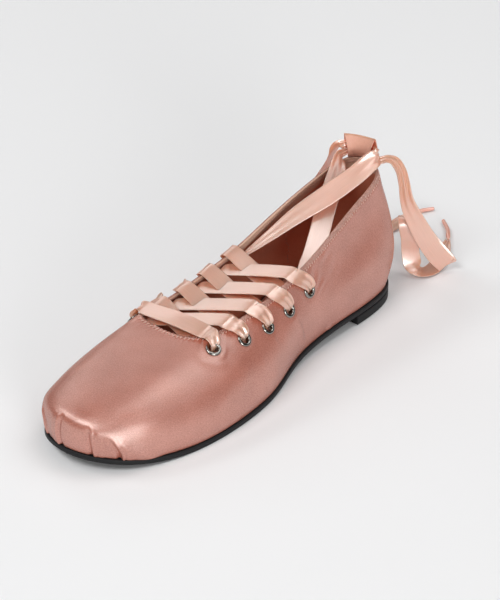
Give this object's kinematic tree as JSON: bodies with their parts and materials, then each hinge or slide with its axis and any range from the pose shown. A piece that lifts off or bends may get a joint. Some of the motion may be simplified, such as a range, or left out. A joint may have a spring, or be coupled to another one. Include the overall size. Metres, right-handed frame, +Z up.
{
  "type": "lace-up flat shoe",
  "caption": "Soft low-heeled flat for the left foot, with a deep open throat laced by a flat ribbon through metal eyelets, a square gathered toe and a tape loop behind the collar.",
  "frame": {"origin": "on the floor under the middle of the heel's tread", "axes": "+X from the heel to the toe, +Y to the wearer's left, which is the outer side, +Z up"},
  "size_m": [0.334, 0.0941, 0.0924],
  "materials": {
    "upper_satin": "satin",
    "insole_lining": "matt",
    "lace_ribbon": "satin",
    "eyelet_nickel": "polished",
    "sole_rubber": "matt"
  },
  "bodies": {
    "root": {"outsole": "sole_rubber", "heel": "sole_rubber", "insole": "insole_lining", "upper": "upper_satin", "eyelet_lateral_1": "eyelet_nickel", "eyelet_lateral_2": "eyelet_nickel", "eyelet_lateral_3": "eyelet_nickel", "eyelet_lateral_4": "eyelet_nickel", "eyelet_lateral_5": "eyelet_nickel", "eyelet_medial_1": "eyelet_nickel", "eyelet_medial_2": "eyelet_nickel", "eyelet_medial_3": "eyelet_nickel", "eyelet_medial_4": "eyelet_nickel", "eyelet_medial_5": "eyelet_nickel", "lace_front_bar": "lace_ribbon", "lace_crossing_1": "lace_ribbon", "lace_crossing_2": "lace_ribbon", "lace_crossing_3": "lace_ribbon", "lace_crossing_4": "lace_ribbon", "pull_loop": "lace_ribbon", "lace_end_medial": "lace_ribbon", "lace_end_lateral": "lace_ribbon", "lace_tip_medial": "lace_ribbon", "lace_tip_lateral": "lace_ribbon"}
  },
  "joints": []
}
